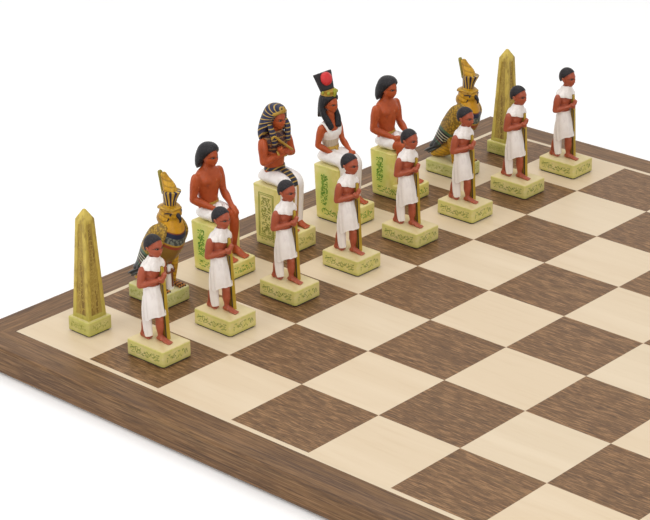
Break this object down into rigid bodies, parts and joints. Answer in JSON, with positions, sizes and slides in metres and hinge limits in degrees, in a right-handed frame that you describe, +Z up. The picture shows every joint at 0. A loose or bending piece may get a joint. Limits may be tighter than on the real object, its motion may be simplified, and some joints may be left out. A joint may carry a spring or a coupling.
{
  "type": "chess set",
  "caption": "Chess set: painted cast figures in the ancient Egyptian manner, each on its own base with a felt pad, on an inlaid walnut and maple board.",
  "frame": {"origin": "middle of the set's footprint, on the surface the board stands on", "axes": "+Z up, out of the playing surface; +X from the players' own edge of the board to the far edge; +Y along the ranks, to the players' left"},
  "size_m": [0.4, 0.4, 0.0918],
  "materials": {
    "maple": "satin lacquer over plain maple veneer",
    "walnut_squares": "satin lacquer over walnut veneer",
    "walnut_frame": "satin lacquer over solid walnut",
    "backing": "sanded veneer",
    "board_core": "raw fibreboard",
    "felt": "matt wool felt",
    "painted_resin": "cast resin, hand painted, satin",
    "painted_gold": "cast resin, painted old gold, satin",
    "painted_stone": "cast resin, painted as sandstone, satin"
  },
  "bodies": {
    "board": {"board_core": "board_core", "light_squares": "maple", "dark_squares": "walnut_squares", "backing_veneer": "backing", "stringing_left": "maple", "stringing_near": "maple", "stringing_right": "maple", "stringing_far": "maple", "frame_rail_left": "walnut_frame", "frame_rail_near": "walnut_frame", "frame_rail_right": "walnut_frame", "frame_rail_far": "walnut_frame", "felt_foot_1": "felt", "felt_foot_2": "felt", "felt_foot_3": "felt", "felt_foot_4": "felt"},
    "obelisk_1": {"obelisk_1": "painted_stone", "obelisk_1_pad": "felt"},
    "falcon_1": {"falcon_1": "painted_gold", "falcon_1_pad": "felt"},
    "seated_man_1": {"seated_man_1": "painted_resin", "seated_man_1_pad": "felt"},
    "king": {"king": "painted_resin", "king_pad": "felt"},
    "queen": {"queen": "painted_resin", "queen_pad": "felt"},
    "seated_man_2": {"seated_man_2": "painted_resin", "seated_man_2_pad": "felt"},
    "falcon_2": {"falcon_2": "painted_gold", "falcon_2_pad": "felt"},
    "obelisk_2": {"obelisk_2": "painted_stone", "obelisk_2_pad": "felt"},
    "pawn_1": {"pawn_1": "painted_resin", "pawn_1_pad": "felt"},
    "pawn_2": {"pawn_2": "painted_resin", "pawn_2_pad": "felt"},
    "pawn_3": {"pawn_3": "painted_resin", "pawn_3_pad": "felt"},
    "pawn_4": {"pawn_4": "painted_resin", "pawn_4_pad": "felt"},
    "pawn_5": {"pawn_5": "painted_resin", "pawn_5_pad": "felt"},
    "pawn_6": {"pawn_6": "painted_resin", "pawn_6_pad": "felt"},
    "pawn_7": {"pawn_7": "painted_resin", "pawn_7_pad": "felt"},
    "pawn_8": {"pawn_8": "painted_resin", "pawn_8_pad": "felt"}
  },
  "joints": [
    {"name": "obelisk_1_lift", "type": "slide", "parent": "board", "child": "obelisk_1", "axis": [0, 0, 1], "range_m": [0, 0.1]},
    {"name": "falcon_1_lift", "type": "slide", "parent": "board", "child": "falcon_1", "axis": [0, 0, 1], "range_m": [0, 0.1]},
    {"name": "seated_man_1_lift", "type": "slide", "parent": "board", "child": "seated_man_1", "axis": [0, 0, 1], "range_m": [0, 0.1]},
    {"name": "king_lift", "type": "slide", "parent": "board", "child": "king", "axis": [0, 0, 1], "range_m": [0, 0.1]},
    {"name": "queen_lift", "type": "slide", "parent": "board", "child": "queen", "axis": [0, 0, 1], "range_m": [0, 0.1]},
    {"name": "seated_man_2_lift", "type": "slide", "parent": "board", "child": "seated_man_2", "axis": [0, 0, 1], "range_m": [0, 0.1]},
    {"name": "falcon_2_lift", "type": "slide", "parent": "board", "child": "falcon_2", "axis": [0, 0, 1], "range_m": [0, 0.1]},
    {"name": "obelisk_2_lift", "type": "slide", "parent": "board", "child": "obelisk_2", "axis": [0, 0, 1], "range_m": [0, 0.1]},
    {"name": "pawn_1_lift", "type": "slide", "parent": "board", "child": "pawn_1", "axis": [0, 0, 1], "range_m": [0, 0.1]},
    {"name": "pawn_2_lift", "type": "slide", "parent": "board", "child": "pawn_2", "axis": [0, 0, 1], "range_m": [0, 0.1]},
    {"name": "pawn_3_lift", "type": "slide", "parent": "board", "child": "pawn_3", "axis": [0, 0, 1], "range_m": [0, 0.1]},
    {"name": "pawn_4_lift", "type": "slide", "parent": "board", "child": "pawn_4", "axis": [0, 0, 1], "range_m": [0, 0.1]},
    {"name": "pawn_5_lift", "type": "slide", "parent": "board", "child": "pawn_5", "axis": [0, 0, 1], "range_m": [0, 0.1]},
    {"name": "pawn_6_lift", "type": "slide", "parent": "board", "child": "pawn_6", "axis": [0, 0, 1], "range_m": [0, 0.1]},
    {"name": "pawn_7_lift", "type": "slide", "parent": "board", "child": "pawn_7", "axis": [0, 0, 1], "range_m": [0, 0.1]},
    {"name": "pawn_8_lift", "type": "slide", "parent": "board", "child": "pawn_8", "axis": [0, 0, 1], "range_m": [0, 0.1]}
  ]
}
